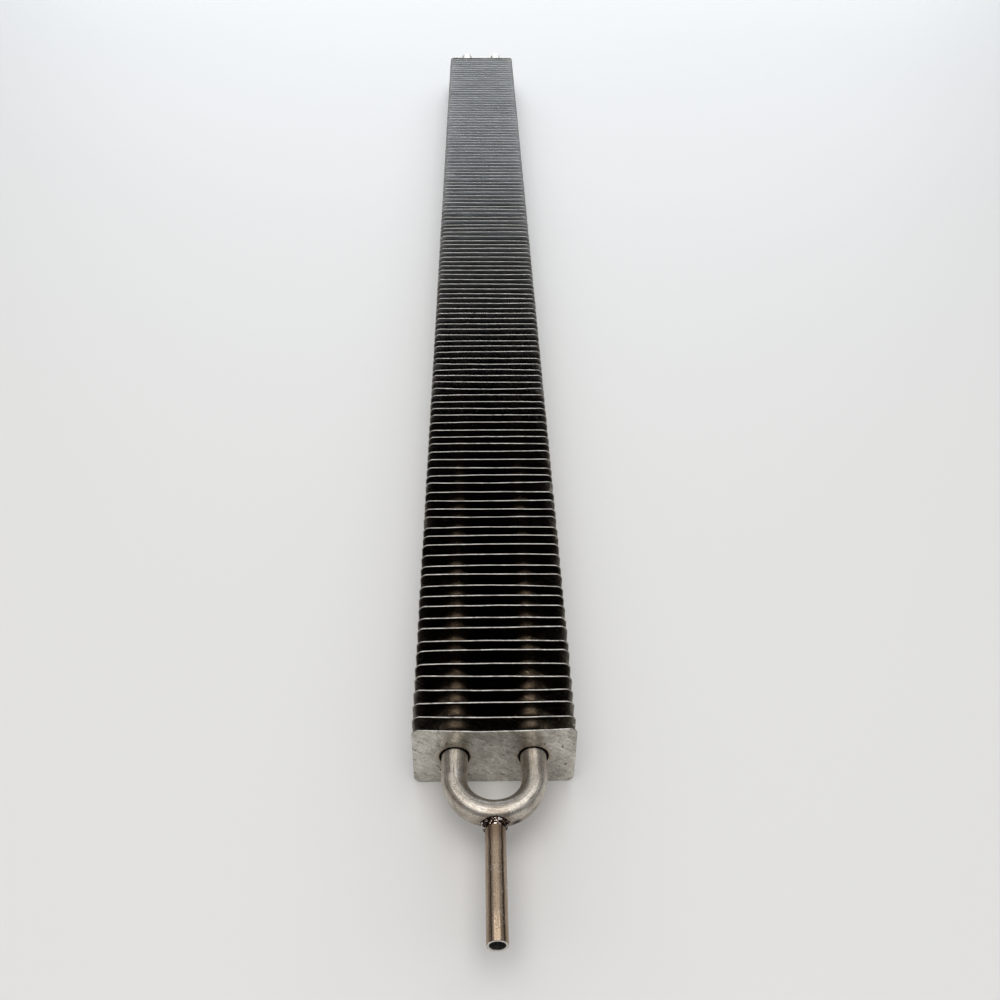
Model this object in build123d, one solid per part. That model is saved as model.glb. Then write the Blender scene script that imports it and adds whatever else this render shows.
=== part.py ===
"""Finned hairpin heating tube.

A stainless tube is bent into a U and pushed through a row of pressed rectangular fins.
Each fin has two drawn collars, and the end of a collar touches the next fin, so the collars
set the pitch. The legs are then expanded, which makes them grip the collars. A short open
stub is set into the outside of the bend and welded.

X runs across the fins, Y along the legs with the bend towards -Y, Z up. The fins stand on their
long edges at Z = 0, and the origin is under the middle of the whole length. Millimetres.
"""
import os
from build123d import *

# Fins
FIN_WIDTH = 50.0
FIN_HEIGHT = 25.0
FIN_SHEET = 0.4
FIN_CORNER_RADIUS = 2.4
FIN_PITCH = 5.2
FIN_COUNT = 132
COLLAR_WALL = 0.4
COLLAR_MOUTH = 0.4
COLLAR_FLAT_COUNT = 6
FINS_PER_PACK = 10

# Hairpin tube
TUBE_DIAMETER = 8.0
TUBE_WALL = 1.0
LEG_SPACING = 24.0
LEAD_LENGTH = 8.0
TAIL_LENGTH = 42.0
EXPANSION = 0.2
EXPANSION_RUN_ON = 1.0

# Stub on the outside of the bend
STUB_DIAMETER = 6.0
STUB_WALL = 0.75
STUB_REACH = 36.0
STUB_SINK = 2.5
STUB_END_CHAMFER = 0.2

# Weld bead round the foot of the stub
WELD_SPREAD = 1.9
WELD_RUN_OUT = 2.4
WELD_TOE = 0.3
WELD_BITE = 0.2

# Two edges closer than this count as one place
SAME_PLACE = 0.01

# Places that follow from the sizes
tube_radius = TUBE_DIAMETER / 2
grip_radius = tube_radius + EXPANSION
stub_radius = STUB_DIAMETER / 2
stub_bore_radius = stub_radius - STUB_WALL
spigot_radius = stub_radius - WELD_BITE
leg_x = LEG_SPACING / 2
axis_z = FIN_HEIGHT / 2
bend_reach = LEAD_LENGTH + LEG_SPACING / 2 + tube_radius
fin_row_length = (FIN_COUNT - 1) * FIN_PITCH + FIN_SHEET
overall_length = STUB_REACH + bend_reach + fin_row_length + TAIL_LENGTH
stub_end_y = -overall_length / 2
crown_y = stub_end_y + STUB_REACH
crown_axis_y = crown_y + tube_radius
weld_front_y = crown_y - WELD_RUN_OUT
stub_seat_y = crown_y + STUB_SINK
first_fin_y = crown_y + bend_reach
last_fin_y = first_fin_y + (FIN_COUNT - 1) * FIN_PITCH
leg_end_y = overall_length / 2


def facing_bend(x, y):
    """Workplane square to the legs, at the height of the tube axis, facing -Y."""
    return Plane(origin=(x, y, axis_z), x_dir=(1, 0, 0), z_dir=(0, -1, 0))


def bar_along_legs(section, x, start_y, end_y):
    """Straight bar of one section from start_y back to end_y."""
    return extrude(facing_bend(x, start_y) * section, amount=start_y - end_y)


def hairpin_rod(diameter):
    """Solid bar of one diameter along the whole hairpin: leg, half-round bend, leg."""
    bend_start_y = first_fin_y - LEAD_LENGTH
    left_end = (-leg_x, leg_end_y, axis_z)
    left_bend = (-leg_x, bend_start_y, axis_z)
    crown = (0, crown_axis_y, axis_z)
    right_bend = (leg_x, bend_start_y, axis_z)
    right_end = (leg_x, leg_end_y, axis_z)
    left_leg = Edge.make_line(left_end, left_bend)
    bend = Edge.make_three_point_arc(left_bend, crown, right_bend)
    right_leg = Edge.make_line(right_bend, right_end)
    route = Wire([left_leg, bend, right_leg])
    return sweep(facing_bend(-leg_x, leg_end_y) * Circle(diameter / 2), path=route)


def expanded_rod(expanded_radius):
    """Two straight bars where the legs are expanded: from the first collars to the last."""
    start_y = first_fin_y + COLLAR_MOUTH
    end_y = last_fin_y + FIN_PITCH + EXPANSION_RUN_ON
    section = Circle(expanded_radius)
    return Part() + [bar_along_legs(section, x, start_y, end_y) for x in (-leg_x, leg_x)]


def ring_edges(solid, y, radius):
    """Circular edges of one radius that lie in the plane at y."""
    circles = solid.edges().filter_by(GeomType.CIRCLE)
    in_plane = [edge for edge in circles if abs(edge.center().Y - y) < SAME_PLACE]
    return [edge for edge in in_plane if abs(edge.radius - radius) < SAME_PLACE]


def weld_bead():
    """Fillet of weld metal: broad on the bend, narrow where it runs out on the stub."""
    foot_height = (tube_radius + stub_radius) / 2 + WELD_TOE
    foot = facing_bend(0, crown_axis_y) * Ellipse(stub_radius + WELD_SPREAD, foot_height)
    run_out = facing_bend(0, weld_front_y) * Circle(stub_radius + WELD_TOE)
    return loft([foot, run_out])


def u_tube():
    """The bent tube with its weld metal, open at both legs and bored for the stub."""
    tube = hairpin_rod(TUBE_DIAMETER) + expanded_rod(grip_radius) + weld_bead()
    tube -= hairpin_rod(TUBE_DIAMETER - 2 * TUBE_WALL) + expanded_rod(grip_radius - TUBE_WALL)
    return tube - bar_along_legs(Circle(spigot_radius), 0, weld_front_y, stub_seat_y)


def stub_tube():
    """Short tube, a little thinner inside the weld metal, its inner end in the bend's wall."""
    stub = bar_along_legs(Circle(stub_radius), 0, stub_end_y, weld_front_y)
    stub += bar_along_legs(Circle(spigot_radius), 0, weld_front_y, stub_seat_y)
    stub -= bar_along_legs(Circle(stub_bore_radius), 0, stub_end_y, stub_seat_y)
    return chamfer(ring_edges(stub, stub_end_y, stub_radius), STUB_END_CHAMFER)


def end_fin(fin_y):
    """One fin in full form: rounded corners and round collars with an opened mouth."""
    outline = RectangleRounded(FIN_WIDTH, FIN_HEIGHT, FIN_CORNER_RADIUS)
    fin = bar_along_legs(outline, 0, fin_y, fin_y + FIN_SHEET)
    for x in (-leg_x, leg_x):
        collar = Circle(grip_radius + COLLAR_WALL)
        fin += bar_along_legs(collar, x, fin_y, fin_y + FIN_PITCH)
        fin -= bar_along_legs(Circle(grip_radius), x, fin_y, fin_y + FIN_PITCH)
    return chamfer(ring_edges(fin, fin_y, grip_radius), COLLAR_MOUTH)


def flat_sided(inner_radius):
    """Section of a collar drawn with few flats, each flat touching the given radius."""
    return RegularPolygon(inner_radius, COLLAR_FLAT_COUNT, major_radius=False)


def fin_pack(first, count):
    """Neighbouring fins, each joined to the next where its collars touch it."""
    pack_y = first_fin_y + first * FIN_PITCH
    pack_end_y = pack_y + count * FIN_PITCH
    sheet_places = [pack_y + number * FIN_PITCH for number in range(count)]
    outline = Rectangle(FIN_WIDTH, FIN_HEIGHT)
    pack = Part() + [bar_along_legs(outline, 0, y, y + FIN_SHEET) for y in sheet_places]
    for x in (-leg_x, leg_x):
        pack += bar_along_legs(flat_sided(grip_radius + COLLAR_WALL), x, pack_y, pack_end_y)
        pack -= bar_along_legs(flat_sided(grip_radius), x, pack_y, pack_end_y)
    return pack


parts = {"u_tube": u_tube(), "stub_tube": stub_tube()}
parts["front_fin"] = end_fin(first_fin_y)
parts["rear_fin"] = end_fin(last_fin_y)
inner_fins = range(1, FIN_COUNT - 1)
for pack_number, first in enumerate(inner_fins[::FINS_PER_PACK], start=1):
    count = min(FINS_PER_PACK, FIN_COUNT - 1 - first)
    parts[f"fin_pack_{pack_number:02d}"] = fin_pack(first, count)

os.makedirs("parts", exist_ok=True)
for name, part in parts.items():
    export_step(part, f"parts/{name}.step")
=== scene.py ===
"""Finned hairpin heating tube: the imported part, dressed piece by piece as it is put together."""
import math
import random

import bmesh
import bpy
from mathutils import Matrix, Vector, noise


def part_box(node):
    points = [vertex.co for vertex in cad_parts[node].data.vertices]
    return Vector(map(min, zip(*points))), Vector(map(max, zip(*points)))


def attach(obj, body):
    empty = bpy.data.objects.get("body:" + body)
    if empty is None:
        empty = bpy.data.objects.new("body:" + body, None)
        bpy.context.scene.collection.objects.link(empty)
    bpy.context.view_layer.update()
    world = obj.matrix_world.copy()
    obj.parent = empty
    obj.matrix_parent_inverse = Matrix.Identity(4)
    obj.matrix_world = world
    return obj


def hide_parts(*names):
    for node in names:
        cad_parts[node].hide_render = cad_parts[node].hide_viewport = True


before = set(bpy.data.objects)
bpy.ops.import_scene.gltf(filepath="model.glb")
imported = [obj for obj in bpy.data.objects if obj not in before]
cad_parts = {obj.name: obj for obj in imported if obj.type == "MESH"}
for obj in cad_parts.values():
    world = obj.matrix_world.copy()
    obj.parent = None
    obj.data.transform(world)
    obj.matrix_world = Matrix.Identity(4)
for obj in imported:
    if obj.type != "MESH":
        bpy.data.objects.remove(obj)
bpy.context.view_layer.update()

# ---------------------------------------------------------------------------------------------
# The table, the light and the eye
# A pale matt table top in a white room whose walls are darker than its ceiling, a lamp straight
# overhead, a cool window beyond the far end, and the eye above the stub, looking down the row.
# ---------------------------------------------------------------------------------------------
MM = 0.001
TABLE_COLOUR = (0.665, 0.652, 0.637)
TABLE_HALF_SIDE = 6.0
TABLE_DROP = 0.05 * MM
EYE_PLACE = (-0.00468, -0.52702, 0.27090)
EYE_PITCH_DOWN = math.radians(38.92)
EYE_YAW_RIGHT = math.radians(1.606)
EYE_ROLL = math.radians(0.75)
EYE_LENS = 37.04
# Lamps: place, what they point at, width and height, watts, colour
LAMPS = {"overhead": ((-0.10, -0.60, 1.6), (-0.10, -0.60, 0), (1.9, 1.9), 21, (1.0, 0.985, 0.955)),
         "window": ((0.05, 1.9, 0.74), (0, 0.7, 0), (2.2, 0.8), 30, (0.82, 0.91, 1.0))}
# The room: how bright, and how high the look has to be turned up for it to start
WALL_GREY, WALL_TOP = 0.22, 0.10
CEILING_WHITE, CEILING_START = 0.46, 0.46


def look_down_the_row():
    """The eye, turned down, a little to the right and a little round its own line of sight."""
    ahead = Vector((math.sin(EYE_YAW_RIGHT) * math.cos(EYE_PITCH_DOWN),
                    math.cos(EYE_YAW_RIGHT) * math.cos(EYE_PITCH_DOWN),
                    -math.sin(EYE_PITCH_DOWN)))
    level_right = Vector((math.cos(EYE_YAW_RIGHT), -math.sin(EYE_YAW_RIGHT), 0))
    level_up = level_right.cross(ahead)
    right = math.cos(EYE_ROLL) * level_right + math.sin(EYE_ROLL) * level_up
    up = math.cos(EYE_ROLL) * level_up - math.sin(EYE_ROLL) * level_right
    eye = bpy.data.objects.new("eye", bpy.data.cameras.new("eye"))
    eye.data.lens, eye.data.sensor_width = EYE_LENS, 36
    eye.data.clip_start, eye.data.clip_end = 0.005, 50
    turn = Matrix((right, up, -ahead)).transposed().to_4x4()
    eye.matrix_world = Matrix.Translation(EYE_PLACE) @ turn
    bpy.context.scene.collection.objects.link(eye)
    bpy.context.scene.camera = eye


class Finish:
    """A node material with the few joints that every surface here is painted with."""

    def __init__(self, name, metal):
        self.paint = bpy.data.materials.new(name)
        self.paint.use_nodes = True
        self.nodes, self.links = self.paint.node_tree.nodes, self.paint.node_tree.links
        self.shader = self.nodes["Principled BSDF"]
        self.shader.inputs["Metallic"].default_value = 1.0 if metal else 0.0
        place = self.nodes.new("ShaderNodeTexCoord")
        self.on_object, self.on_skin = place.outputs["Object"], place.outputs["UV"]

    def join(self, source, node, name):
        self.links.new(source, node.inputs[name])

    def stretched(self, coords, scale, turn=(0, 0, 0)):
        node = self.nodes.new("ShaderNodeMapping")
        node.inputs["Scale"].default_value = scale
        node.inputs["Rotation"].default_value = turn
        self.join(coords, node, "Vector")
        return node.outputs["Vector"]

    def cloud(self, coords, scale, detail=4, roughness=0.55, warp=0.0):
        node = self.nodes.new("ShaderNodeTexNoise")
        node.inputs["Scale"].default_value = scale
        node.inputs["Detail"].default_value = detail
        node.inputs["Roughness"].default_value = roughness
        node.inputs["Distortion"].default_value = warp
        self.join(coords, node, "Vector")
        return node.outputs["Fac"]

    def ramp(self, value, start, end, low=0.0, high=1.0):
        node = self.nodes.new("ShaderNodeMapRange")
        node.interpolation_type = "SMOOTHSTEP"
        self.join(value, node, "Value")
        ends = {"From Min": start, "From Max": end, "To Min": low, "To Max": high}
        for name, number in ends.items():
            node.inputs[name].default_value = number
        return node.outputs["Result"]

    def sum(self, a, b, kind="ADD"):
        node = self.nodes.new("ShaderNodeMath")
        node.operation = kind
        for i, term in enumerate((a, b)):
            if isinstance(term, (int, float)):
                node.inputs[i].default_value = term
            else:
                self.links.new(term, node.inputs[i])
        return node.outputs["Value"]

    def mix(self, share, a, b, kind="MIX"):
        node = self.nodes.new("ShaderNodeMix")
        node.data_type, node.blend_type = "RGBA", kind
        self.join(share, node, "Factor")
        for name, colour in (("A", a), ("B", b)):
            if isinstance(colour, tuple):
                node.inputs[name].default_value = colour + (1,)
            else:
                self.join(colour, node, name)
        return node.outputs["Result"]

    def near(self, point, inner, outer):
        """1 within the inner distance of a point, 0 beyond the outer one."""
        node = self.nodes.new("ShaderNodeVectorMath")
        node.operation = "DISTANCE"
        self.links.new(self.on_object, node.inputs[0])
        node.inputs[1].default_value = point
        return self.ramp(node.outputs["Value"], inner, outer, 1.0, 0.0)

    def relief(self, height, depth, strength=1.0, under=None):
        node = self.nodes.new("ShaderNodeBump")
        node.inputs["Strength"].default_value = strength
        node.inputs["Distance"].default_value = depth
        self.join(height, node, "Height")
        if under is not None:
            self.join(under, node, "Normal")
        return node.outputs["Normal"]

    def ground_round(self, amount):
        """Fine marks run round the tube, so its gloss is drawn out along it."""
        self.shader.inputs["Anisotropic"].default_value = amount
        self.shader.inputs["Anisotropic Rotation"].default_value = 0.25
        way = self.nodes.new("ShaderNodeTangent")
        way.direction_type = "UV_MAP"
        self.join(way.outputs["Tangent"], self.shader, "Tangent")

    def coat(self, colour, roughness, normal=None):
        self.join(colour, self.shader, "Base Color")
        self.join(roughness, self.shader, "Roughness")
        if normal is not None:
            self.join(normal, self.shader, "Normal")
        return self.paint


def table_laminate():
    """Matt white laminate, slightly uneven in tone."""
    top = Finish("table_laminate", metal=False)
    top.shader.inputs["Specular IOR Level"].default_value = 0.2
    patches = top.cloud(top.on_object, 1.1)
    colour = top.mix(patches, TABLE_COLOUR, tuple(c * 1.05 for c in TABLE_COLOUR))
    return top.coat(colour, top.ramp(patches, 0, 1, 0.5, 0.65))


def table_top():
    side = TABLE_HALF_SIDE
    mesh = bpy.data.meshes.new("table_top")
    mesh.from_pydata([(-side, -side, 0), (side, -side, 0), (side, side, 0), (-side, side, 0)],
                     [], [(0, 1, 2, 3)])
    mesh.materials.append(table_laminate())
    top = bpy.data.objects.new("table_top", mesh)
    top.location.z = -TABLE_DROP
    bpy.context.scene.collection.objects.link(top)


def soft_lamps():
    for name, (place, aim, size, watts, colour) in LAMPS.items():
        lamp = bpy.data.objects.new(name, bpy.data.lights.new(name, "AREA"))
        lamp.data.shape, (lamp.data.size, lamp.data.size_y) = "RECTANGLE", size
        lamp.data.energy, lamp.data.color = watts, colour
        lamp.location = place
        lamp.rotation_euler = (Vector(aim) - Vector(place)).to_track_quat("-Z", "Y").to_euler()
        bpy.context.scene.collection.objects.link(lamp)


def room_light():
    """Grey walls all round, shading into a paler ceiling."""
    room = bpy.data.worlds.new("room")
    bpy.context.scene.world = room
    room.use_nodes = True
    nodes, links = room.node_tree.nodes, room.node_tree.links
    direction = nodes.new("ShaderNodeTexCoord")
    height = nodes.new("ShaderNodeSeparateXYZ")
    tone = nodes.new("ShaderNodeValToRGB")
    walls, ceiling = tone.color_ramp.elements
    walls.position, walls.color = WALL_TOP, (WALL_GREY, WALL_GREY, WALL_GREY * 1.03, 1)
    ceiling.position = CEILING_START
    ceiling.color = (CEILING_WHITE * 0.98, CEILING_WHITE, CEILING_WHITE * 1.03, 1)
    links.new(direction.outputs["Generated"], height.inputs["Vector"])
    links.new(height.outputs["Z"], tone.inputs["Fac"])
    links.new(tone.outputs["Color"], nodes["Background"].inputs["Color"])
    nodes["Background"].inputs["Strength"].default_value = 1.0


bpy.context.scene.view_settings.view_transform = "Standard"
look_down_the_row()
table_top()
soft_lamps()
room_light()

# ---------------------------------------------------------------------------------------------
# The bent tube
# Drawn stainless tube, 8 mm outside and 6 mm inside, bent on a 12 mm radius. The bend is a
# little flattened, and the legs are swollen where they grip the fin collars.
# ---------------------------------------------------------------------------------------------
first_fin_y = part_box("front_fin")[0].y
last_fin_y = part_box("rear_fin")[0].y
leg_end_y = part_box("u_tube")[1].y
axis_z = (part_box("stub_tube")[0].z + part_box("stub_tube")[1].z) / 2
LEG_X = 12 * MM
TUBE_RADIUS = 4 * MM
TUBE_BORE_RADIUS = 3 * MM
BEND_RADIUS = 12 * MM
BEND_HALF_WIDTH = 3.68 * MM
LEAD = 8 * MM
SWOLLEN_RADIUS = 4.2 * MM
# Where the swelling begins behind the first sheet, and ends past the last collar
SWELL_BEGINS = (0.9 * MM, 1.2 * MM)
SWELL_ENDS = (1.0 * MM, 1.2 * MM)
SAW_ROUNDING = 0.15 * MM
BORE_ROUNDING = 0.1 * MM
FIN_SPACING = 5.2 * MM
TUBE_SIDES = 64
BEND_STEPS = 48
BORE_SHOWN = 60 * MM
SAME_PLACE = 0.002 * MM
BORE_SLACK = 0.02 * MM
OUTER_WALL_FLATNESS = 2.7
TUBE_LIGHT = (0.66, 0.612, 0.545)
TUBE_DARK = (0.262, 0.229, 0.192)
TUBE_BROWN = (0.20, 0.135, 0.09)
BROWN_PAINTED_REFLECTION = (0.30, 0.235, 0.175)
DRAG_DARK = (0.13, 0.10, 0.075)
DRAG_BRIGHT = (0.78, 0.75, 0.70)
HEAT_TINT = (0.19, 0.135, 0.085)
# Near-black: painted shade down the bores, in the collar mouths and on the tube inside the row;
# also a dark patch beside the weld.
NEAR_BLACK = (0.008, 0.007, 0.006)
bend_start_y = first_fin_y - LEAD
crown_y = bend_start_y - BEND_RADIUS - TUBE_RADIUS
weld_centre = (0, crown_y - 0.2 * MM, axis_z)


def ring_round(centre, across, half_across, half_up, sides, flatness=2.0):
    """Points round a tube, from its across side over the top. The far side may be flattened."""
    ring = []
    for j in range(sides):
        c, s = math.cos(math.tau * j / sides), math.sin(math.tau * j / sides)
        if c < 0 and flatness > 2:
            size = (abs(c) ** flatness + abs(s) ** flatness) ** (-1 / flatness)
            c, s = c * size, s * size
        ring.append(centre + across * (half_across * c) + Vector((0, 0, half_up * s)))
    return ring


def skin_over(bm, rings, girth, runs):
    """Faces between neighbouring rings, with the skin unrolled: u round them, v along."""
    skin = bm.loops.layers.uv.verify()
    made = [[bm.verts.new(point) for point in ring] for ring in rings]
    sides = len(rings[0])
    for i in range(len(made) - 1):
        for j in range(sides):
            k = (j + 1) % sides
            face = bm.faces.new((made[i][j], made[i][k], made[i + 1][k], made[i + 1][j]))
            face.smooth = True
            for loop, (a, b) in zip(face.loops, ((i, j), (i, j + 1), (i + 1, j + 1), (i + 1, j))):
                loop[skin].uv = (girth * b / sides, runs[a])


def piece_from(bm, name, *finishes):
    """A finished piece of the object, riding on its one body."""
    bmesh.ops.remove_doubles(bm, verts=bm.verts, dist=SAME_PLACE)
    bmesh.ops.recalc_face_normals(bm, faces=bm.faces)
    mesh = bpy.data.meshes.new(name)
    bm.to_mesh(mesh)
    bm.free()
    for finish in finishes:
        mesh.materials.append(finish)
    piece = bpy.data.objects.new(name, mesh)
    bpy.context.scene.collection.objects.link(piece)
    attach(piece, "root")
    return piece


def hairpin_stations():
    """Along the tube: its middle, the way across, half width and half height there."""
    last_collar_y = last_fin_y + FIN_SPACING
    leg = [(leg_end_y, TUBE_RADIUS - SAW_ROUNDING), (leg_end_y - SAW_ROUNDING, TUBE_RADIUS),
           (last_collar_y + SWELL_ENDS[1], TUBE_RADIUS),
           (last_collar_y + SWELL_ENDS[0], SWOLLEN_RADIUS),
           (first_fin_y + SWELL_BEGINS[1], SWOLLEN_RADIUS),
           (first_fin_y + SWELL_BEGINS[0], TUBE_RADIUS),
           (bend_start_y + LEAD / 2, TUBE_RADIUS)]
    down = [(Vector((-LEG_X, y, axis_z)), Vector((1, 0, 0)), r, r, 2) for y, r in leg]
    back = [(Vector((LEG_X, y, axis_z)), Vector((-1, 0, 0)), r, r, 2) for y, r in reversed(leg)]
    bend = []
    for i in range(BEND_STEPS + 1):
        turn = math.pi * i / BEND_STEPS
        across = Vector((math.cos(turn), math.sin(turn), 0))
        flattening = min(1.0, 2.0 * math.sin(turn)) ** 0.8
        half_width = TUBE_RADIUS + (BEND_HALF_WIDTH - TUBE_RADIUS) * flattening
        middle = Vector((0, bend_start_y, axis_z)) - across * BEND_RADIUS
        outer_wall = 2 + (OUTER_WALL_FLATNESS - 2) * flattening
        bend.append((middle, across, half_width, TUBE_RADIUS, outer_wall))
    return down + bend + back


def drawn_tube_steel():
    """Satin stainless: grainy, clouded, with drawing lines, brown painted reflection and small
    stains.
    """
    steel = Finish("drawn_tube_steel", metal=True)
    grain = steel.cloud(steel.on_object, 2300, 3, 0.6)
    lines = steel.cloud(steel.stretched(steel.on_skin, (2600, 90, 1)), 1.0, 3, 0.6)
    patches = steel.cloud(steel.on_object, 210, 5, 0.6, 0.6)
    blend = steel.sum(steel.sum(grain, 0.38, "MULTIPLY"), steel.sum(lines, 0.30, "MULTIPLY"))
    blend = steel.sum(blend, steel.sum(patches, 0.32, "MULTIPLY"))
    colour = steel.mix(steel.ramp(blend, 0.36, 0.62), TUBE_DARK, TUBE_LIGHT)
    # Brown patches at random: a painted reflection of something brown beside the tube.
    brown_reflection_patches = steel.cloud(steel.stretched(steel.on_skin, (130, 26, 1)), 1.0, 2)
    colour = steel.mix(steel.ramp(brown_reflection_patches, 0.50, 0.72, 0.0, 0.55), colour, BROWN_PAINTED_REFLECTION)
    drag = steel.cloud(steel.stretched(steel.on_skin, (1500, 110, 1)), 1.0, 3, 0.65, 0.3)
    colour = steel.mix(steel.ramp(drag, 0.60, 0.68, 0.0, 0.65), colour, DRAG_DARK)
    colour = steel.mix(steel.ramp(drag, 0.40, 0.33, 0.0, 0.5), colour, DRAG_BRIGHT)
    stains = steel.cloud(steel.on_object, 520, 3, 0.5)
    colour = steel.mix(steel.ramp(stains, 0.70, 0.76, 0.0, 0.8), colour, TUBE_BROWN)
    heated = steel.near(weld_centre, 4.2 * MM, 6.2 * MM)
    colour = steel.mix(steel.sum(heated, 0.45, "MULTIPLY"), colour, HEAT_TINT)
    # A near-black patch painted on the lower side of the bend, beside the weld.
    dark_patch_by_weld = (6.2 * MM, crown_y + 1.8 * MM, axis_z - 1.6 * MM)
    colour = steel.mix(steel.near(dark_patch_by_weld, 0.6 * MM, 2.4 * MM), colour, NEAR_BLACK)
    # From just in front of the first fin to past the last collar the tube is painted near-black:
    # painted shade between the fins and in the gap at the first fin.
    spot = steel.nodes.new("ShaderNodeSeparateXYZ")
    steel.join(steel.on_object, spot, "Vector")
    inside = steel.ramp(spot.outputs["Y"], first_fin_y - 0.25 * MM, first_fin_y + 0.15 * MM)
    outside = steel.ramp(spot.outputs["Y"], last_fin_y, last_fin_y + FIN_SPACING, 1.0, 0.0)
    colour = steel.mix(steel.sum(inside, outside, "MULTIPLY"), colour, NEAR_BLACK)
    bumps = steel.relief(blend, 0.13 * MM, 0.9)
    steel.ground_round(0.7)
    return steel.coat(colour, steel.ramp(blend, 0.35, 0.65, 0.44, 0.30), bumps)


def painted_shade():
    """Near-black painted shade, in the gap round a tube and inside a bore."""
    black = Finish("painted_shade", metal=False)
    specks = black.cloud(black.on_object, 1800, 3)
    colour = black.mix(black.ramp(specks, 0.4, 0.7), NEAR_BLACK, tuple(2.5 * c for c in NEAR_BLACK))
    return black.coat(colour, black.ramp(specks, 0.3, 0.7, 0.9, 0.65))


def bent_tube():
    bm = bmesh.new()
    stations = hairpin_stations()
    runs = [0.0]
    for (a, *_), (b, *_) in zip(stations, stations[1:]):
        runs.append(runs[-1] + (b - a).length)
    girth = math.tau * TUBE_RADIUS
    rings = [ring_round(*station[:4], TUBE_SIDES, station[4]) for station in stations]
    skin_over(bm, rings, girth, runs)
    for leg_x in (-LEG_X, LEG_X):
        sawn_end = [(leg_end_y, TUBE_RADIUS - SAW_ROUNDING),
                    (leg_end_y, TUBE_BORE_RADIUS + BORE_ROUNDING),
                    (leg_end_y - BORE_ROUNDING, TUBE_BORE_RADIUS),
                    (leg_end_y - BORE_SHOWN, TUBE_BORE_RADIUS)]
        rings = [ring_round(Vector((leg_x, y, axis_z)), Vector((1, 0, 0)), r, r, TUBE_SIDES)
                 for y, r in sawn_end]
        skin_over(bm, rings, girth, [y for y, r in sawn_end])
    for face in bm.faces:
        middle = face.calc_center_median()
        from_axis = math.hypot(abs(middle.x) - LEG_X, middle.z - axis_z)
        # Inside the bore, past the last fin, the tube gets the near-black painted shade.
        if middle.y > last_fin_y and from_axis < TUBE_BORE_RADIUS + BORE_SLACK:
            face.material_index = 1
    return piece_from(bm, "bent_tube", drawn_tube_steel(), gap_and_bore_shade)


gap_and_bore_shade = painted_shade()
tube = bent_tube()
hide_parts("u_tube")

# ---------------------------------------------------------------------------------------------
# The fins
# Pressed from 0.4 mm stainless sheet, 50 by 25 mm, with two drawn collars that reach the next
# fin. Each one leans and bows a little its own way, and its sheared edge is bright.
# The inner fins are painted darker than the two outer ones, as painted shade between the fins.
# ---------------------------------------------------------------------------------------------
FIN_COUNT = 132
FINS_IN_PACK = 10
FIN_HALF_WIDTH = 25 * MM
FIN_HEIGHT = 25 * MM
FIN_CORNER = 2.4 * MM
FIN_SHEET_MM = 0.4
SIDE_STEPS = 8
CORNER_STEPS = 5
# Steps down the line where a fin's two halves join: close together at its top and foot
JOIN_STEPS = (0, 0.01, 0.25, 0.5, 0.75, 0.99)
SHEET_LIGHT = (0.65, 0.62, 0.56)
SHEET_DARK = (0.30, 0.284, 0.252)
# The inner fins' sheet, painted far darker than the outer fins': painted shade between the fins.
INNER_SHADED_LIGHT = (0.24, 0.22, 0.195)
INNER_SHADED_DARK = (0.07, 0.064, 0.056)
EDGE_LIGHT = (0.49, 0.455, 0.41)
EDGE_DARK = (0.20, 0.183, 0.162)
# A paler, cooler top towards the far end: painted light.
FAR_PAINTED_PALE = (0.71, 0.73, 0.755)
# Round each collar: a brown painted highlight.
COLLAR_PAINTED_GLINT = (0.41, 0.315, 0.225)
SHEET_SCRATCH = (0.12, 0.10, 0.085)
SCORE_BRIGHT = (0.80, 0.77, 0.72)
PIT_BLACK = (0.07, 0.06, 0.05)
FLECK_BRIGHT = (0.85, 0.80, 0.72)
# Rings of one fin, from its front edge inwards and back out: share of the way in, and depth in mm.
FRONT_RINGS = ((0.0, 0.16), (0.006, 0.05), (0.016, 0.0), (0.035, 0.0), (0.25, 0.0), (0.55, 0.0))
BACK_RINGS = ((0.55, 0.4), (0.25, 0.4), (0.032, 0.4), (0.010, 0.4), (0.0, 0.32))
# Rings of a collar: radius and depth, in mm.
OPEN_COLLAR = ((4.90, 0.0), (4.70, 0.02), (4.65, 0.10), (4.60, 0.6), (4.2, 1.2), (4.2, 5.19),
               (4.6, 5.19), (4.65, 1.6), (4.88, 1.0), (5.3, 0.4))
PLAIN_COLLAR = ((4.9, 0.0), (4.3, 0.3), (4.2, 5.19), (4.6, 5.19), (4.62, 1.1), (5.0, 0.4))
# How far the top edges of the nearest fins stand back from upright: left, middle, right, in mm.
KNOCKS = ((0.15, -0.45, 0.10), (-0.15, -0.35, -0.20), (0.05, 0.25, 0.40), (0.0, -0.20, -0.05),
          (0.50, 0.30, 0.10), (0.30, 0.50, 0.30), (1.05, 1.20, 1.10), (-0.15, 0.05, -0.10),
          (0.45, 0.70, 0.90), (-0.15, 0.10, -0.05), (0.35, 0.60, 0.50), (0.0, 0.25, 0.10),
          (-0.30, 0.0, -0.55), (0.55, 0.45, 0.30), (-0.50, -0.15, -0.30), (0.10, 0.45, 0.35),
          (0.35, 0.70, 0.60), (0.15, 0.45, 0.35), (-0.55, -0.20, -0.30), (0.45, 0.40, 0.75),
          (0.0, -0.10, -0.25), (-0.40, -0.45, -0.05), (-0.15, -0.20, -0.30), (0.30, 0.25, 0.65),
          (-0.40, 0.10, 0.0), (-0.40, -0.50, -0.60))
# They are taken 0.72 of the way out: 1.44 apart, and 0.52 is that share squared.
KNOCK_SPAN, KNOCK_SHARE_SQUARED = 1.44, 0.52
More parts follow.
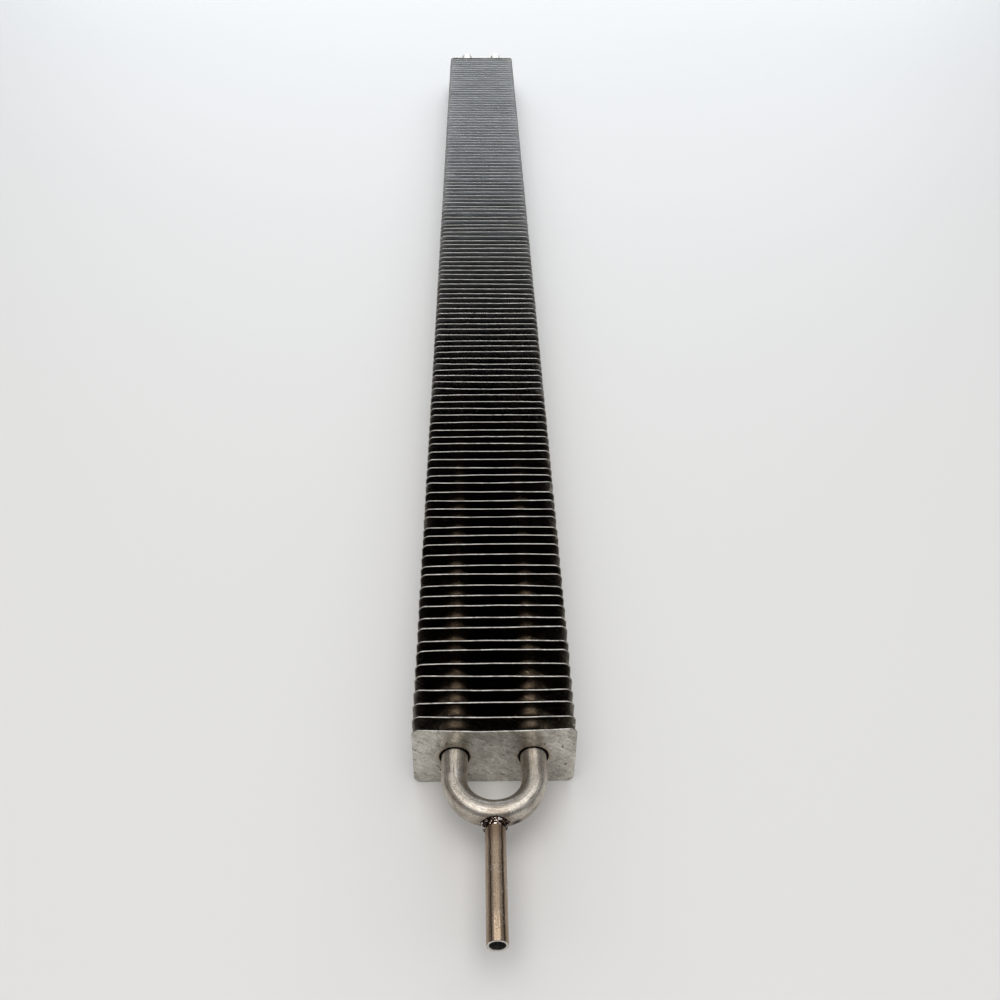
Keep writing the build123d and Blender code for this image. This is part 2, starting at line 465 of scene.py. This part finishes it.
# The fins beyond them lean at random. Spreads, all in mm.
OWN_LEAN, SHARED_LEAN = 0.28, 0.30
SIDE_SLIP, TOP_DROP = 0.07, 0.09
RIPPLE, RIPPLES_PER_METRE = 0.16, 130
# One fin in four has a top corner folded, beyond a line across it.
FOLD, FOLD_LINE, FOLD_STEEPNESS = 0.4, 1.45, 1.6
# A hair smaller than the blank, so that no knocked fin stands proud of the row.
FIN_SHRUNK_ACROSS, FIN_SHRUNK_UP = 0.9965, 0.996
# Round a leg the sheet is held true, and gets free over the next few mm.
HELD_RADIUS_MM, HELD_FADE_MM = 5.0, 6.0
knocks_at_random = random.Random(52)


def half_fin_outline():
    """Points round the right half of a fin, from the middle of its foot."""
    w, h, c = FIN_HALF_WIDTH, FIN_HEIGHT, FIN_CORNER
    sides = (((0, 0), (w - c, 0)), ((w, c), (w, h - c)), ((w - c, h), (0, h)), ((0, h), (0, 0)))
    corners = {0: (w - c, c, -math.pi / 2), 1: (w - c, h - c, 0)}
    points = []
    for number, (a, b) in enumerate(sides):
        steps = [i / SIDE_STEPS for i in range(SIDE_STEPS)]
        if number == 3:
            steps = JOIN_STEPS
        points += [(a[0] + (b[0] - a[0]) * t, a[1] + (b[1] - a[1]) * t) for t in steps]
        if number in corners:
            x, z, start = corners[number]
            turns = (start + math.pi / 2 * i / CORNER_STEPS for i in range(CORNER_STEPS))
            points += [(x + c * math.cos(t), z + c * math.sin(t)) for t in turns]
    return points


def knock(number):
    """How one fin has been knocked out of true: a rule that moves any point of it."""
    draw = knocks_at_random
    left, middle, right = (draw.gauss(0, OWN_LEAN) for place in range(3))
    shared = draw.gauss(0, SHARED_LEAN)
    left, middle, right = (0.5 * v + shared for v in (left, middle, right))
    if number < len(KNOCKS):
        left, middle, right = KNOCKS[number]
    shift, seed = draw.uniform(-SIDE_SLIP, SIDE_SLIP) * MM, draw.uniform(0, 900)
    low = draw.uniform(0.0, TOP_DROP) * MM
    corner = draw.choice((-1, 1)) * draw.choice((0, 0, 0, FOLD)) * MM

    def moved(spot, free):
        out, up = spot.x / FIN_HALF_WIDTH, (spot.z - axis_z) / (FIN_HEIGHT / 2)
        lean = (right - left) * out / KNOCK_SPAN
        bow = ((left + right) / 2 - middle) * out * out / KNOCK_SHARE_SQUARED
        top = middle + lean + bow
        across, along = spot.x * RIPPLES_PER_METRE + seed, spot.z * RIPPLES_PER_METRE
        ripple = noise.noise(Vector((across, along, seed))) * RIPPLE
        past_line = max(0.0, out * (1 if corner > 0 else -1) + up - FOLD_LINE)
        fold = past_line * abs(corner) / MM * FOLD_STEEPNESS
        spot.y += free * MM * (top * max(0.0, 0.5 + 0.5 * up) ** 1.3 + ripple - fold)
        spot.x = spot.x * FIN_SHRUNK_ACROSS + free * shift
        dropped = free * low * (0.5 + 0.5 * up) * 1.2
        spot.z = axis_z + (spot.z - axis_z) * FIN_SHRUNK_UP - dropped
        return spot

    return moved


def pressed_fin(bm, number, collar):
    """One fin: its sheared edge, its front, through the collar and back over its rear."""
    fin_y = first_fin_y + number * FIN_SPACING
    moved = knock(number)
    outline = half_fin_outline()
    middle = Vector((LEG_X, axis_z))
    rings = ([("edge", *r) for r in FRONT_RINGS[:3]] + [("sheet", *r) for r in FRONT_RINGS[3:]]
             + [("collar", *r) for r in collar]
             + [("sheet", *r) for r in BACK_RINGS[:-2]] + [("edge", *r) for r in BACK_RINGS[-2:]])
    sides = len(outline)
    kinds, depths = [r[0] for r in rings], [r[2] for r in rings]
    for hand in (-1, 1):
        made = []
        for kind, place, depth in rings:
            ring = []
            for x, z in outline:
                way = Vector((x, z)) - middle
                reach = way.length
                inwards = (reach - HELD_RADIUS_MM * MM) * place
                out = place * MM if kind == "collar" else reach - inwards
                on_join = kind == "edge" and x < 1e-6 < z < FIN_HEIGHT - 1e-6
                spot = middle + way * (out / reach)
                deep = round(depth / FIN_SHEET_MM) * FIN_SHEET_MM if on_join else depth
                free = min(1.0, max(0.0, (out / MM - HELD_RADIUS_MM) / HELD_FADE_MM))
                point = Vector((hand * spot.x, fin_y + deep * MM, spot.y))
                ring.append(bm.verts.new(moved(point, free * free * (3 - 2 * free))))
            made.append(ring)
        for i in range(len(made)):
            closing = i == len(made) - 1
            below = made[(i + 1) % len(made)]
            for j in range(sides):
                k = (j + 1) % sides
                if closing and outline[j][0] < 1e-6 and outline[k][0] < 1e-6:
                    continue
                face = bm.faces.new((made[i][j], made[i][k], below[k], below[j])[::hand])
                face.smooth = True
                kind, next_kind = kinds[i], kinds[i + 1 - len(made)]
                across_join = outline[j][0] < 1e-6 and outline[k][0] < 1e-6
                face.material_index = int(kind == next_kind == "edge" and not across_join)
                # The inside faces of a collar, round the tube, get the near-black painted shade.
                if kind == next_kind == "collar" and depths[i] < depths[i + 1]:
                    face.material_index = 2


def off_the_leg(sheet):
    """How far a point of the sheet is from the middle of the nearer leg."""
    spot = sheet.on_object
    for kind, other in (("ABSOLUTE", None), ("SUBTRACT", (LEG_X, 0, axis_z)),
                        ("MULTIPLY", (1, 0, 1)), ("LENGTH", None)):
        node = sheet.nodes.new("ShaderNodeVectorMath")
        node.operation = kind
        sheet.links.new(spot, node.inputs[0])
        if other:
            node.inputs[1].default_value = other
        spot = node.outputs["Value" if kind == "LENGTH" else "Vector"]
    return spot


def pressed_sheet(name, light, dark, rough, smooth, far_top_painted_light=0.0):
    """Mill-finish stainless sheet: clouded, scratched aslant, pitted, not quite flat. Towards
    the far end its top may be painted paler and cooler, as painted light."""
    sheet = Finish(name, metal=True)
    patches = sheet.cloud(sheet.on_object, 210, 8, 0.66, 0.9)
    aslant = sheet.stretched(sheet.on_object, (1, 1, 1), (0, math.radians(52), 0))
    scratches = sheet.cloud(sheet.stretched(aslant, (1500, 1500, 300)), 1.0, 4, 0.6, 0.3)
    grain = sheet.cloud(sheet.on_object, 1900, 3, 0.6)
    blend = sheet.sum(sheet.sum(patches, 0.50, "MULTIPLY"), sheet.sum(scratches, 0.26, "MULTIPLY"))
    blend = sheet.sum(blend, sheet.sum(grain, 0.24, "MULTIPLY"))
    colour = sheet.mix(sheet.ramp(blend, 0.34, 0.62), dark, light)
    winding = sheet.cloud(sheet.on_object, 170, 3, 0.45, 2.6)
    off_line = sheet.sum(sheet.sum(winding, 0.5, "SUBTRACT"), 0.0, "ABSOLUTE")
    kept = sheet.ramp(sheet.cloud(sheet.on_object, 120, 1), 0.50, 0.60)
    hairline = sheet.sum(sheet.ramp(off_line, 0.0, 0.009, 1.0, 0.0), kept, "MULTIPLY")
    colour = sheet.mix(sheet.sum(hairline, 0.85, "MULTIPLY"), colour, SHEET_SCRATCH)
    scored = sheet.cloud(sheet.stretched(aslant, (700, 700, 130)), 1.0, 4, 0.62, 1.2)
    colour = sheet.mix(sheet.ramp(scored, 0.60, 0.67, 0.0, 0.6), colour, SHEET_SCRATCH)
    colour = sheet.mix(sheet.ramp(scored, 0.40, 0.33, 0.0, 0.5), colour, SCORE_BRIGHT)
    pits = sheet.cloud(sheet.on_object, 560, 2, 0.5, 0.4)
    colour = sheet.mix(sheet.ramp(pits, 0.68, 0.73, 0.0, 0.85), colour, PIT_BLACK)
    flecks = sheet.cloud(sheet.on_object, 1000, 1, 0.5)
    colour = sheet.mix(sheet.ramp(flecks, 0.72, 0.77, 0.0, 0.7), colour, FLECK_BRIGHT)
    # Round each leg the sheet is painted brown, lighter than the inner fins' sheet: a painted
    # highlight on the collars.
    at_collar = sheet.ramp(off_the_leg(sheet), 4.9 * MM, 5.8 * MM, 0.65, 0.0)
    colour = sheet.mix(at_collar, colour, COLLAR_PAINTED_GLINT)
    spot = sheet.nodes.new("ShaderNodeSeparateXYZ")
    sheet.join(sheet.on_object, spot, "Vector")
    # Towards the far end the top of the sheet is painted paler: painted light.
    far_off = sheet.ramp(spot.outputs["Y"], -0.28, 0.20, 0.0, far_top_painted_light)
    high_up = sheet.ramp(spot.outputs["Z"], FIN_HEIGHT - 4.5 * MM, FIN_HEIGHT - 1.2 * MM)
    pale = sheet.sum(far_off, high_up, "MULTIPLY")
    colour = sheet.mix(pale, colour, FAR_PAINTED_PALE)
    buckles = sheet.cloud(sheet.on_object, 95, 2, 0.5)
    waves = sheet.relief(buckles, 0.35 * MM, 0.6)
    bumps = sheet.relief(blend, 0.09 * MM, 0.85, waves)
    gloss = sheet.ramp(blend, 0.38, 0.62, rough, smooth)
    matt = sheet.sum(sheet.sum(at_collar, 0.13, "MULTIPLY"), sheet.sum(pale, 0.34, "MULTIPLY"))
    return sheet.coat(colour, sheet.sum(gloss, matt), bumps)


def fins_as_one(name, first, count, collar, sheet):
    bm = bmesh.new()
    for number in range(first, first + count):
        pressed_fin(bm, number, collar)
    piece = piece_from(bm, name, sheet, sheared_edge, gap_and_bore_shade)
    return piece


outer_sheet = pressed_sheet("outer_fin_sheet", SHEET_LIGHT, SHEET_DARK, 0.36, 0.24)
shaded_inner_sheet = pressed_sheet("inner_fin_sheet_painted_shade", INNER_SHADED_LIGHT, INNER_SHADED_DARK, 0.24, 0.13, 0.92)
sheared_edge = pressed_sheet("sheared_edge", EDGE_LIGHT, EDGE_DARK, 0.40, 0.28)
front_fin = fins_as_one("front_fin_pressed", 0, 1, OPEN_COLLAR, outer_sheet)
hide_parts("front_fin")
for pack in range(1, 1 + (FIN_COUNT - 2) // FINS_IN_PACK):
    first = 1 + (pack - 1) * FINS_IN_PACK
    fins = fins_as_one(f"fins_{pack:02d}", first, FINS_IN_PACK, PLAIN_COLLAR, shaded_inner_sheet)
    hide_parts(f"fin_pack_{pack:02d}")
rear_fin = fins_as_one("rear_fin_pressed", FIN_COUNT - 1, 1, OPEN_COLLAR, outer_sheet)
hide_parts("rear_fin")

# ---------------------------------------------------------------------------------------------
# The stub
# A 6 mm stainless tube, set into the outside of the bend, sawn off square and open. The heat
# of welding has turned it brown. Near-black streaks along both sides: stain and painted
# reflection.
# ---------------------------------------------------------------------------------------------
stub_end_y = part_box("stub_tube")[0].y
STUB_RADIUS = 3 * MM
STUB_BORE_RADIUS = 2.25 * MM
STUB_SIDES = 56
STUB_GIRTH = math.tau * STUB_RADIUS
STUB_LIGHT = (0.43, 0.328, 0.236)
STUB_DARK = (0.215, 0.158, 0.110)
STREAK_STAIN_AND_REFLECTION = (0.050, 0.026, 0.016)
STUB_SCRATCH = (0.85, 0.80, 0.70)
BURNT_BROWN = (0.14, 0.085, 0.05)
SAWN_DARK = (0.42, 0.39, 0.35)
SAWN_BRIGHT = (0.74, 0.71, 0.66)
# The dark streaks, part stain and part painted reflection: where, in degrees from the right over
# the top, and how wide.
STREAKS = ((54, 0.75), (123, 0.6))
# From the open end's bore, over the sawn face, to the inner end: place along, and radius, in mm.
STUB_PROFILE = ((14.0, 2.25), (0.12, 2.25), (0.0, 2.38), (0.0, 2.80), (0.05, 2.92), (0.2, 3.0),
                (9.0, 3.0), (18.0, 3.0), (27.0, 3.0), (38.0, 3.0))


def heat_tinted_steel():
    """Smooth drawn tube, olive brown, with a dark streak of stain and painted reflection down each
    shoulder.
    """
    steel = Finish("heat_tinted_steel", metal=True)
    lines = steel.cloud(steel.stretched(steel.on_skin, (3000, 120, 1)), 1.0, 3, 0.6)
    grain = steel.cloud(steel.on_object, 2400, 3, 0.6)
    blend = steel.sum(steel.sum(lines, 0.55, "MULTIPLY"), steel.sum(grain, 0.45, "MULTIPLY"))
    colour = steel.mix(steel.ramp(blend, 0.36, 0.64), STUB_DARK, STUB_LIGHT)
    wander = steel.sum(steel.cloud(steel.stretched(steel.on_skin, (1, 150, 1)), 1.0, 3), 0.0011,
                       "MULTIPLY")
    round_it = steel.nodes.new("ShaderNodeSeparateXYZ")
    steel.join(steel.on_skin, round_it, "Vector")
    # Each streak is part stain, part painted reflection of the dark walls.
    for degrees, width in STREAKS:
        middle = STUB_GIRTH * degrees / 360 - 0.00055
        off = steel.sum(round_it.outputs["X"], wander, "SUBTRACT")
        off = steel.sum(steel.sum(off, middle, "SUBTRACT"), 0.0, "ABSOLUTE")
        streak = steel.ramp(off, 0.12 * width * MM, 0.62 * width * MM, 0.85, 0.0)
        colour = steel.mix(streak, colour, STREAK_STAIN_AND_REFLECTION)
    winding = steel.cloud(steel.on_object, 230, 2, 0.5, 1.5)
    off_line = steel.sum(steel.sum(winding, 0.5, "SUBTRACT"), 0.0, "ABSOLUTE")
    kept = steel.ramp(steel.cloud(steel.on_object, 150, 1), 0.52, 0.60, 0.0, 0.6)
    scratch = steel.sum(steel.ramp(off_line, 0.0, 0.012, 1.0, 0.0), kept, "MULTIPLY")
    colour = steel.mix(scratch, colour, STUB_SCRATCH)
    burnt = steel.near(weld_centre, 3.4 * MM, 9.0 * MM)
    colour = steel.mix(steel.sum(burnt, 0.6, "MULTIPLY"), colour, BURNT_BROWN)
    bumps = steel.relief(blend, 0.035 * MM, 0.45)
    steel.ground_round(0.7)
    return steel.coat(colour, steel.ramp(blend, 0.36, 0.64, 0.34, 0.22), bumps)


def sawn_face():
    """The bright ring left by the saw."""
    face = Finish("sawn_face", metal=True)
    marks = face.cloud(face.on_object, 3200, 3, 0.6)
    colour = face.mix(face.ramp(marks, 0.3, 0.7), SAWN_DARK, SAWN_BRIGHT)
    return face.coat(colour, face.ramp(marks, 0.3, 0.7, 0.42, 0.26), face.relief(marks, 0.03 * MM))


def open_stub():
    bm = bmesh.new()
    rings = [ring_round(Vector((0, stub_end_y + y * MM, axis_z)), Vector((1, 0, 0)), r * MM,
                        r * MM, STUB_SIDES) for y, r in STUB_PROFILE]
    skin_over(bm, rings, STUB_GIRTH, [y * MM for y, r in STUB_PROFILE])
    for face in bm.faces:
        middle = face.calc_center_median()
        # The stub's bore gets the near-black painted shade.
        if math.hypot(middle.x, middle.z - axis_z) < STUB_BORE_RADIUS + BORE_SLACK:
            face.material_index = 2
        elif middle.y < stub_end_y + 0.1 * MM:
            face.material_index = 1
    return piece_from(bm, "stub", heat_tinted_steel(), sawn_face(), gap_and_bore_shade)


stub = open_stub()
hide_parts("stub_tube")

# ---------------------------------------------------------------------------------------------
# The weld
# A hand-laid bead round the foot of the stub: lumps of once-molten metal, scaled black and
# brown, with painted glints, lapping onto the bend and a little way down the stub.
# ---------------------------------------------------------------------------------------------
WELD_SIDES = 120
WELD_RINGS = 14
SCALE_BLACK = (0.007, 0.005, 0.004)
SCALE_BROWN = (0.17, 0.07, 0.035)
SCALE_PAINTED_GLINT = (0.86, 0.82, 0.76)
TOE_PAINTED_SHADE = (0.008, 0.006, 0.005)
# Lumps round the bead: where, in degrees from the right over the top, how wide, and how proud.
LUMPS = [(6, 17, 0.60), (36, 13, 0.45), (60, 10, 0.42), (80, 9, 0.10), (98, 9, 0.22),
         (118, 12, 0.45), (146, 13, 0.50), (172, 14, 0.85), (196, 15, 0.70), (222, 16, 0.35),
         (250, 15, 0.45), (283, 16, 0.35), (318, 15, 0.45), (344, 10, 0.40)]


def bend_surface_y(x, z):
    """Where the outside of the bend lies, straight behind a point of the weld."""
    height = min(0.985, abs(z / TUBE_RADIUS))
    bulge = (1 - height ** OUTER_WALL_FLATNESS) ** (1 / OUTER_WALL_FLATNESS)
    reach = BEND_RADIUS + BEND_HALF_WIDTH * bulge
    return bend_start_y - math.sqrt(max(1e-9, reach * reach - x * x))


def weld_point(turn, share):
    """One point of the bead: share runs from its toe on the bend to its toe on the stub."""
    degrees = math.degrees(turn) % 360
    ripple = 0.0
    for place, width, proud in LUMPS:
        gap = abs((degrees - place + 180) % 360 - 180)
        ripple += proud * math.exp(-(gap / width) ** 2 * 1.6)
    over_top = max(0.0, math.sin(turn))
    jitter = noise.noise(Vector((math.cos(turn) * 5, math.sin(turn) * 5, share * 3)))
    jitter *= 0.35 - 0.2 * over_top
    spread = max(0.05, (1.0 - 0.95 * over_top) + 0.6 * ripple * (1 - 0.9 * over_top) + jitter)
    foot_x = (3.0 + spread) * math.cos(turn)
    foot_z = min(3.0 + spread, 3.7) * math.sin(turn)
    foot = Vector((foot_x, bend_surface_y(foot_x * MM, foot_z * MM) / MM, foot_z))
    run = 1.3 + 0.8 * ripple + 0.3 * noise.noise(Vector((degrees * 0.05, 3.1, 0)))
    top = Vector((3.02 * math.cos(turn), crown_y / MM - min(run, 2.3), 3.02 * math.sin(turn)))
    drawn_in = share ** 0.6
    point = Vector((foot.x + (top.x - foot.x) * drawn_in, foot.y + (top.y - foot.y) * share,
                    foot.z + (top.z - foot.z) * drawn_in))
    out = Vector((math.cos(turn), -0.75, math.sin(turn))).normalized()
    swell = math.sin(math.pi * share) ** 0.8
    scale = 0.5 + 0.5 * math.cos(share * 9 + 6 * noise.noise(Vector((degrees * 0.03, 0, 9))))
    point += out * swell * (0.05 + 0.32 * ripple + 0.20 * scale) * (1 - 0.3 * over_top)
    return point * MM


def weld_scale():
    """Oxide on weld metal: black in the hollows, brown over the crown, with painted glints on top.
    """
    scale = Finish("weld_scale", metal=True)
    lumps = scale.cloud(scale.on_object, 820, 3, 0.55, 1.3)
    fine = scale.cloud(scale.on_object, 4200, 3, 0.6)
    colour = scale.mix(scale.ramp(lumps, 0.49, 0.57), SCALE_BLACK, SCALE_BROWN)
    # The highest lumps are painted bright: painted glints.
    colour = scale.mix(scale.ramp(lumps, 0.56, 0.60), colour, SCALE_PAINTED_GLINT)
    across = scale.nodes.new("ShaderNodeSeparateXYZ")
    scale.join(scale.on_skin, across, "Vector")
    # Along its toe on the bend the bead is painted near-black: painted shade.
    toe = scale.ramp(across.outputs["Y"], 0.25 * MM, 0.9 * MM, 0.95, 0.0)
    colour = scale.mix(toe, colour, TOE_PAINTED_SHADE)
    bumps = scale.relief(fine, 0.05 * MM, 0.6, scale.relief(lumps, 0.30 * MM, 1.0))
    return scale.coat(colour, scale.ramp(lumps, 0.4, 0.6, 0.30, 0.13), bumps)


def weld_bead():
    bm = bmesh.new()
    turns = [math.tau * j / WELD_SIDES for j in range(WELD_SIDES)]
    rings = []
    for i in range(WELD_RINGS + 1):
        share = i / WELD_RINGS
        ring = []
        for turn in turns:
            point = weld_point(turn, share)
            ring.append(Vector((point.x, point.y, axis_z + point.z)))
        rings.append(ring)
    skin_over(bm, rings, STUB_GIRTH, [0.3 * MM * i for i in range(WELD_RINGS + 1)])
    return piece_from(bm, "weld", weld_scale())


weld = weld_bead()
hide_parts("u_tube")
